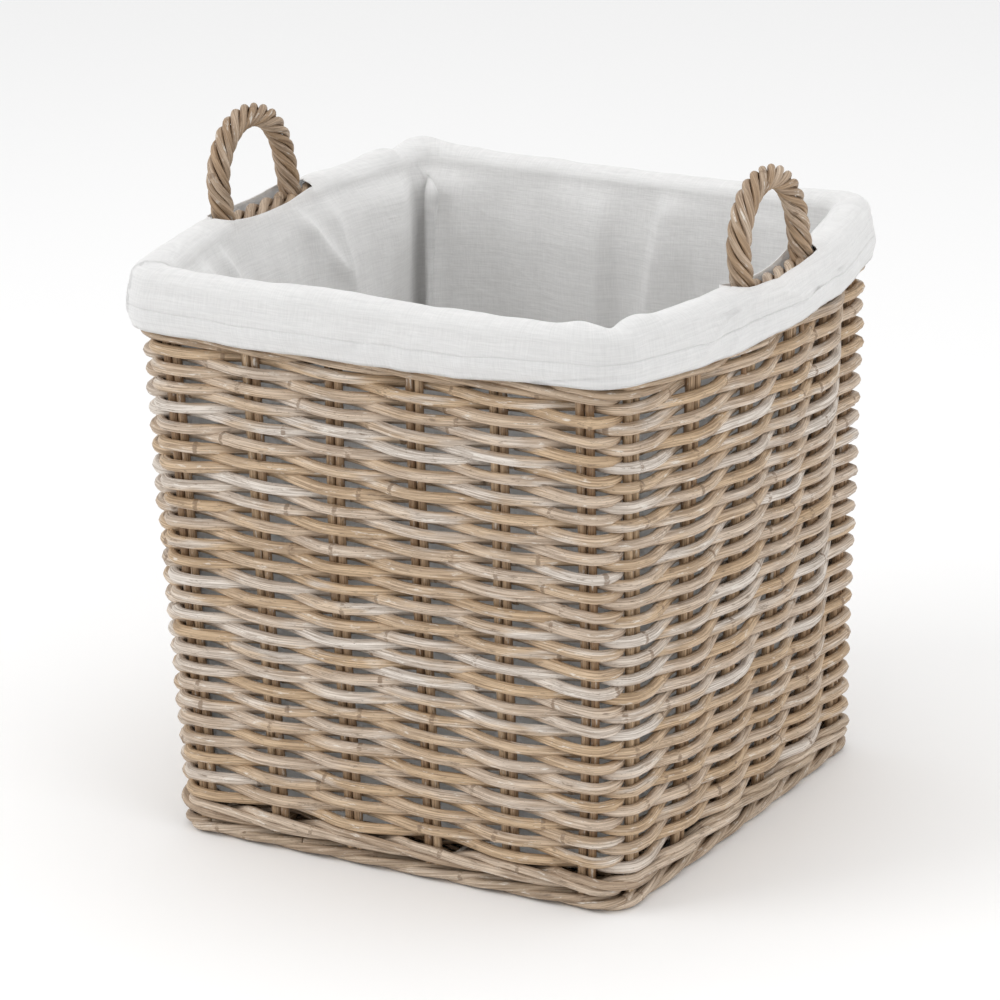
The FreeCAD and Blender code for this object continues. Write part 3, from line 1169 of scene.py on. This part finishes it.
def calico_group():
    """Threads, slubs and soft crumples, in the cloth's own coordinates."""
    if "calico_weave" in bpy.data.node_groups:
        return bpy.data.node_groups["calico_weave"]
    board, start, end = new_group(
        "calico_weave",
        [("Colour", "NodeSocketColor"), ("Cloth", "NodeSocketVector")],
        [("Colour", "NodeSocketColor"), ("Height", "NodeSocketFloat")])
    speckle, ranged, figured = board.speckle, board.ranged, board.figured
    cloth = start.outputs["Cloth"]
    weft = speckle(cloth, (70, 900, 1), 2, 0.6, (-400, 300))
    warp = speckle(cloth, (900, 60, 1), 2, 0.6, (-400, 100))
    slubs = speckle(cloth, (14, 420, 1), 2, 0.6, (-400, -100))
    crumple = speckle(cloth, (42, 50, 1), 3, 0.6, (-400, -300))
    press = speckle(cloth, (9, 13, 1), 2, 0.6, (-400, -500))
    beside = figured("SUBTRACT", press, 0.5, (-200, -500))
    near = figured("ABSOLUTE", beside, 0.5, (-50, -500))
    crease = ranged(near, 0, 0.035, (100, -500), 0.08, 0)
    threads = figured("ADD", figured("ADD", weft, warp, (-150, 250)), slubs, (0, 200))
    shade = board.add("ShaderNodeVectorMath", (250, 200), operation="SCALE")
    board.feed(start.outputs["Colour"], shade.inputs["Vector"])
    board.feed(ranged(threads, 1.15, 1.85, (0, 300), 0.90, 1.03, "LINEAR"), shade.inputs["Scale"])
    fine = figured("MULTIPLY", threads, 0.14, (250, -100))
    soft = figured("ADD", crumple, crease, (350, -300))
    board.feed(shade.outputs["Vector"], end.inputs["Colour"])
    board.feed(figured("ADD", fine, soft, (450, -200)), end.inputs["Height"])
    return board.tree


def finish(name, group, colours, readings, relief, depth):
    """A material whose colour and relief come from one group.

    readings are the attributes that the group reads, each with the kind of its output.
    """
    material = bpy.data.materials.new(name)
    material.use_nodes = True
    board = Board(material.node_tree)
    shader = material.node_tree.nodes["Principled BSDF"]
    pattern = board.add("ShaderNodeGroup", (-300, 0), node_tree=group)
    for title, value in colours.items():
        pattern.inputs[title].default_value = (*value, 1)
    for title, output in readings.items():
        attribute = board.add("ShaderNodeAttribute", (-600, 0), attribute_name=title)
        board.feed(attribute.outputs[output], pattern.inputs[title.capitalize()])
    bump = board.add("ShaderNodeBump", (-80, -200))
    bump.inputs["Strength"].default_value = relief
    bump.inputs["Distance"].default_value = depth
    board.feed(pattern.outputs["Height"], bump.inputs["Height"])
    board.feed(pattern.outputs["Colour"], shader.inputs["Base Color"])
    board.feed(bump.outputs["Normal"], shader.inputs["Normal"])
    if "Roughness" in pattern.outputs:
        board.feed(pattern.outputs["Roughness"], shader.inputs["Roughness"])
    return material, shader


def rattan_material(name, colour, pale, brown):
    """Weathered rattan that reads each rod's own grain, tone and knots."""
    colours = {"Colour": colour, "Pale": pale, "Brown": brown}
    readings = {"grain": "Vector", "tone": "Fac", "knot": "Fac"}
    material, shader = finish(name, rod_grain_group(), colours, readings, 0.5, 0.0006)
    shader.inputs["Specular IOR Level"].default_value = 0.45
    return material


def cotton_material(name, colour):
    """Off-white calico: uneven threads both ways, and faint creases left by folding."""
    readings = {"cloth": "Vector"}
    material, shader = finish(name, calico_group(), {"Colour": colour}, readings, 0.7, 0.0016)
    shader.inputs["Roughness"].default_value = 0.92
    shader.inputs["Specular IOR Level"].default_value = 0.15
    shader.inputs["Sheen Weight"].default_value = 0.12
    shader.inputs["Subsurface Weight"].default_value = 0.5
    shader.inputs["Subsurface Radius"].default_value = (1, 1, 1)
    shader.inputs["Subsurface Scale"].default_value = 0.004
    return material


# ---- The stage ----

# Each lamp's place, the width of its panel, and its share of the main light.
LAMPS = (
    ("window_left", (-2.6, -2.4, 2.6), 2.2, 1.0),
    ("window_right", (3.2, -1.2, 1.8), 2.0, 0.45),
    ("ceiling", (0.2, 0.3, 3.4), 2.4, 0.5),
)
LAMP_AIM = Vector((0, 0, 0.3))


def build_stage():
    """The floor, the light from all round, the lamps and the camera."""
    size = settings()
    mesh = bmesh.new()
    bmesh.ops.create_grid(mesh, x_segments=1, y_segments=1, size=30)
    material = bpy.data.materials.new("pale_floor")
    material.use_nodes = True
    shader = material.node_tree.nodes["Principled BSDF"]
    shader.inputs["Base Color"].default_value = (*size.floor_colour, 1)
    shader.inputs["Roughness"].default_value = 0.9
    shader.inputs["Specular IOR Level"].default_value = 0.1
    floor = made("pale_floor", mesh, material)

    world = bpy.data.worlds.new("soft_room")
    bpy.context.scene.world = world
    world.use_nodes = True
    bpy.context.scene.view_settings.view_transform = "Standard"
    background = world.node_tree.nodes["Background"]
    background.inputs["Color"].default_value = (1, 1, 1, 1)
    background.inputs["Strength"].default_value = size.room_light

    for name, place, width, share in LAMPS:
        lamp = bpy.data.lights.new(name, "AREA")
        lamp.size = width
        lamp.energy = size.main_light * share
        item = bpy.data.objects.new(name, lamp)
        item.location = place
        item.rotation_euler = (LAMP_AIM - Vector(place)).to_track_quat("-Z", "Y").to_euler()
        bpy.context.scene.collection.objects.link(item)

    lens = bpy.data.cameras.new("camera")
    lens.lens = size.lens
    lens.sensor_width = 36
    lens.shift_x = size.shift_right
    lens.shift_y = size.shift_up
    camera = bpy.data.objects.new("camera", lens)
    turn = size.view_turn
    rise = size.view_rise
    back = Vector((math.sin(turn) * math.cos(rise), -math.cos(turn) * math.cos(rise), math.sin(rise)))
    camera.location = Vector((0, 0, size.view_height)) + back * size.view_distance
    level_turn = (-back).to_track_quat("-Z", "Y")
    camera.rotation_euler = (level_turn @ Quaternion((0, 0, 1), size.view_roll)).to_euler()
    bpy.context.scene.collection.objects.link(camera)
    bpy.context.scene.camera = camera


# ---- Sizes and colours that a user may change ----

def length(name, description, default):
    return bpy.props.FloatProperty(name=name, description=description, default=default,
                                   unit="LENGTH", precision=4)


def number(name, description, default):
    return bpy.props.FloatProperty(name=name, description=description, default=default, precision=3)


def count(name, description, default):
    return bpy.props.IntProperty(name=name, description=description, default=default)


def angle(name, description, default):
    return bpy.props.FloatProperty(name=name, description=description, default=math.radians(default),
                                   subtype="ANGLE")


def colour(name, description, default):
    return bpy.props.FloatVectorProperty(name=name, description=description, default=default,
                                         subtype="COLOR", size=3, min=0, max=1)


class LogBasketSettings(bpy.types.PropertyGroup):
    """Sizes and colours of the basket"""

    wall: length("Wall", "Thickness of the woven wall", 0.025)
    corner_radius: length("Corner radius", "Outer radius of the four corners", 0.034)
    plain_bulge: length("Plain bulge", "How far the front and back bow out at the rim", 0.003)
    foot_bulge: length("Bulge at the foot", "How far a side bows out at the floor", 0.002)
    corner_inset: length("End pair to corner", "End pair of stakes to the corner's flat", 0.038)
    stake_radius: length("Stake radius", "Radius of the upright rods", 0.004)
    stake_gap: length("Gap in a pair", "Space between the two rods of a pair", 0.0006)
    stake_lean: length("Stake lean", "How far a stake stands aside of its true place", 0.006)
    weaver_radius: length("Weaver radius", "Radius of the woven rods", 0.0051)
    weaver_step: number("Weaver step", "Distance between a weaver's rings, in pairs of stakes", 0.085)
    rows: count("Rows", "Rows of weaving up a side", 24)
    lowest_row: length("Lowest row", "Height of the lowest row of weaving", 0.0385)
    weaver_droop: length("Weaver droop", "How far a weaver droops as it comes forward", 0.0008)
    hold: length("Straight at a stake", "Stretch that a weaver keeps straight beside a pair", 0.005)
    row_drift: length("Row drift", "How far the rows rise and fall round the basket", 0.005)
    rod_wobble: length("Rod wobble", "How far a rod strays from its true route", 0.0014)
    rod_unevenness: number("Rod unevenness", "Share by which rods differ in thickness", 0.06)
    knot_spacing: length("Knot spacing", "Usual distance between the joints of a rod", 0.24)
    wale_radius: length("Wale radius", "Radius of the rods in the wales", 0.0041)
    foot_lay: length("Foot lay", "How far the foot border's rods wind up and down", 0.003)
    rim_rod_radius: length("Rim rod radius", "Radius of the rods in the rim border", 0.0043)
    rim_lay: length("Rim lay", "How far the rim border's rods wind in and out", 0.0096)
    base_sticks: count("Base sticks", "Sticks that the base is woven on", 7)
    rope_strands: count("Rope strands", "Rods in a handle", 5)
    strand_radius: length("Strand radius", "Radius of a rod in a handle", 0.0034)
    rope_lay: length("Rope lay", "Length of one turn of a handle's rods", 0.070)
    core_radius: length("Core radius", "Radius of the rod inside a handle", 0.0026)
    handle_lean: length("Handle lean", "How far a handle's top leans to the left", 0.005)
    handle_shift: length("Handle shift", "How far a handle stands forward of its true place", 0.004)
    rope_depth: length("Rope depth", "How far the handle's rods run down into the rim", 0.009)
    weaver_colour: colour("Weaver colour", "Weathered rattan", (0.55, 0.452, 0.358))
    weaver_pale: colour("Pale weaver", "Bleached rattan", (0.64, 0.59, 0.535))
    weaver_brown: colour("Brown weaver", "Rattan that kept its colour", (0.51, 0.375, 0.24))
    stake_colour: colour("Stake colour", "Browner upright rods", (0.40, 0.275, 0.17))
    stake_brown: colour("Brown stake", "Brownest upright rods", (0.30, 0.19, 0.105))
    foot_colour: colour("Foot colour", "Rods at the foot", (0.44, 0.345, 0.25))
    rim_colour: colour("Rim colour", "Rods at the rim", (0.45, 0.34, 0.235))
    handle_colour: colour("Handle colour", "Twisted handle rods", (0.395, 0.298, 0.212))
    handle_pale: colour("Pale handle", "Worn top of the handle rods", (0.56, 0.46, 0.36))
    handle_brown: colour("Brown handle", "Brown handle rods", (0.34, 0.235, 0.145))
    cloth_columns: count("Cloth columns", "Columns of the cloth on each side", 96)
    cloth_inset: length("Cloth inset", "How far in from the wall's outer face the cloth hangs", -0.0285)
    cloth_turn: length("Cloth turn", "Height at which the cloth starts to go over the rim", 0.495)
    cloth_top: length("Cloth top", "Height of the cloth over the middle of the rim", 0.5075)
    cloth_thickness: length("Cloth thickness", "Thickness of the cotton", 0.0007)
    steady_cloth: length("Steady cloth", "Half of a side's stretch where the cloth runs straight", 0.160)
    slot_half: length("Half slot", "Half the length of the slot round a handle", 0.069)
    cuff_out: length("Cuff", "How far the cuff stands off the wall's outer face", 0.0048)
    cuff_belly: length("Cuff belly", "How far the cuff swells at its middle", 0.0035)
    drape: number("Drape", "How loosely the cloth hangs inside", 1.0)
    cloth_colour: colour("Cloth colour", "Off-white cotton", (0.82, 0.815, 0.805))
    hem_colour: colour("Hem colour", "Doubled off-white cotton", (0.83, 0.825, 0.815))
    floor_colour: colour("Floor colour", "Pale floor", (0.97, 0.97, 0.97))
    room_light: number("Room light", "Strength of the light from all round", 0.80)
    main_light: number("Main light", "Power of the largest lamp, in watts", 42)
    lens: number("Lens", "Focal length of the camera, in millimetres", 172.5)
    shift_right: number("Shift right", "Sideways shift of the camera", -0.0149)
    shift_up: number("Shift up", "Upward shift of the camera", 0.0444)
    view_turn: angle("View turn", "Camera's place round the basket", 30.09)
    view_rise: angle("View rise", "Camera's angle over the floor", 19.21)
    view_roll: angle("View roll", "Camera's turn about its own line of sight", -1.42)
    view_height: length("View height", "Height of the point that the camera faces", 0.225)
    view_distance: length("View distance", "Camera to the point that it faces", 4.165)


class BASKET_OT_stage(bpy.types.Operator):
    """Set the floor, the soft lights and the camera"""
    bl_idname = "basket.stage"
    bl_label = "Stage"

    def execute(self, context):
        build_stage()
        return {"FINISHED"}


class BASKET_OT_weavers(bpy.types.Operator):
    """Weave the four sides"""
    bl_idname = "basket.weavers"
    bl_label = "Weavers"

    def execute(self, context):
        weave_sides()
        return {"FINISHED"}


class BASKET_OT_stakes(bpy.types.Operator):
    """Set the pairs of upright rods"""
    bl_idname = "basket.stakes"
    bl_label = "Stakes"

    def execute(self, context):
        set_stakes()
        return {"FINISHED"}


class BASKET_OT_foot(bpy.types.Operator):
    """Weave the foot border and the wale over it"""
    bl_idname = "basket.foot"
    bl_label = "Foot"

    def execute(self, context):
        weave_foot()
        return {"FINISHED"}


class BASKET_OT_rim(bpy.types.Operator):
    """Weave the top wale and roll the rim border"""
    bl_idname = "basket.rim"
    bl_label = "Rim"

    def execute(self, context):
        weave_rim()
        return {"FINISHED"}


class BASKET_OT_base(bpy.types.Operator):
    """Weave the base on its sticks"""
    bl_idname = "basket.base"
    bl_label = "Base"

    def execute(self, context):
        weave_base()
        return {"FINISHED"}


class BASKET_OT_handles(bpy.types.Operator):
    """Twist the two rope handles round their cores"""
    bl_idname = "basket.handles"
    bl_label = "Handles"

    def execute(self, context):
        twist_handles()
        return {"FINISHED"}


class BASKET_OT_liner(bpy.types.Operator):
    """Hang the cotton liner and turn its cuff down over the rim"""
    bl_idname = "basket.liner"
    bl_label = "Liner"

    def execute(self, context):
        hang_liner()
        return {"FINISHED"}


OPERATORS = (BASKET_OT_stage, BASKET_OT_weavers, BASKET_OT_stakes, BASKET_OT_foot,
             BASKET_OT_rim, BASKET_OT_base, BASKET_OT_handles, BASKET_OT_liner)


class BASKET_PT_pieces(bpy.types.Panel):
    """The pieces of the basket, in the order in which they are made"""
    bl_label = "Log basket"
    bl_idname = "BASKET_PT_pieces"
    bl_space_type = "VIEW_3D"
    bl_region_type = "UI"
    bl_category = "Basket"

    def draw(self, context):
        for operator in OPERATORS:
            self.layout.operator(operator.bl_idname)


CLASSES = (LogBasketSettings, *OPERATORS, BASKET_PT_pieces)


def register():
    for item in CLASSES:
        bpy.utils.register_class(item)
    bpy.types.Scene.log_basket = bpy.props.PointerProperty(type=LogBasketSettings)


def unregister():
    del bpy.types.Scene.log_basket
    for item in reversed(CLASSES):
        bpy.utils.unregister_class(item)


def main():
    register()
    for operator in OPERATORS:
        family, action = operator.bl_idname.split(".")
        getattr(getattr(bpy.ops, family), action)()


if __name__ == "__main__":
    main()
